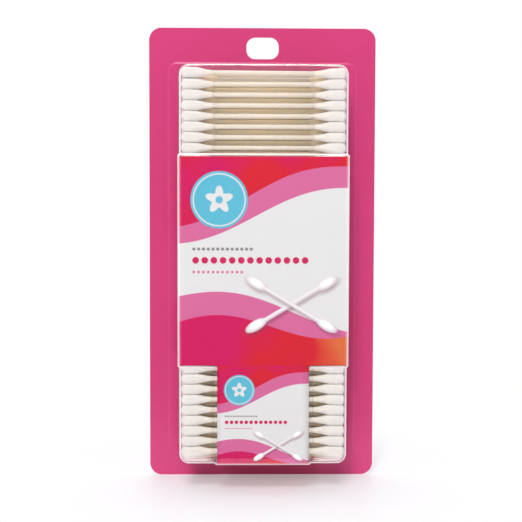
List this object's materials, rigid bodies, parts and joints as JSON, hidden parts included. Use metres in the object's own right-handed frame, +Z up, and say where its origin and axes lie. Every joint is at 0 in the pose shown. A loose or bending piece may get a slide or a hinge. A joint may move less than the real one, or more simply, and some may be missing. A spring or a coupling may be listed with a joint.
{
  "type": "carded blister pack of cotton swabs",
  "caption": "Hang card with a clear blister tub that holds stacked paper-stick cotton swabs behind a folded paper label.",
  "frame": {"origin": "middle of the hang hole on the back face of the card", "axes": "+Z up along the card, +Y out of the card's back, so the tub stands out towards -Y; +X to the right seen from the front"},
  "size_m": [0.1102, 0.0361, 0.2194],
  "materials": {
    "card": "coated board, printed magenta",
    "clear_sheet": "clear thermoformed sheet",
    "label": "printed and folded paper",
    "stick": "rolled paper, uncoated",
    "cotton": "wound cotton fibre"
  },
  "bodies": {
    "root": {"back_card": "card", "front_card": "card", "clear_tub": "clear_sheet", "label_insert": "label", "swab_sticks_layer_1": "stick", "swab_sticks_layer_2": "stick", "swab_sticks_layer_3": "stick", "swab_sticks_layer_4": "stick", "swab_sticks_layer_5": "stick", "swab_sticks_layer_6": "stick", "swab_sticks_layer_7": "stick", "swab_sticks_layer_8": "stick", "swab_heads_layer_1": "cotton", "swab_heads_layer_2": "cotton", "swab_heads_layer_3": "cotton", "swab_heads_layer_4": "cotton", "swab_heads_layer_5": "cotton", "swab_heads_layer_6": "cotton", "swab_heads_layer_7": "cotton", "swab_heads_layer_8": "cotton"}
  },
  "joints": []
}
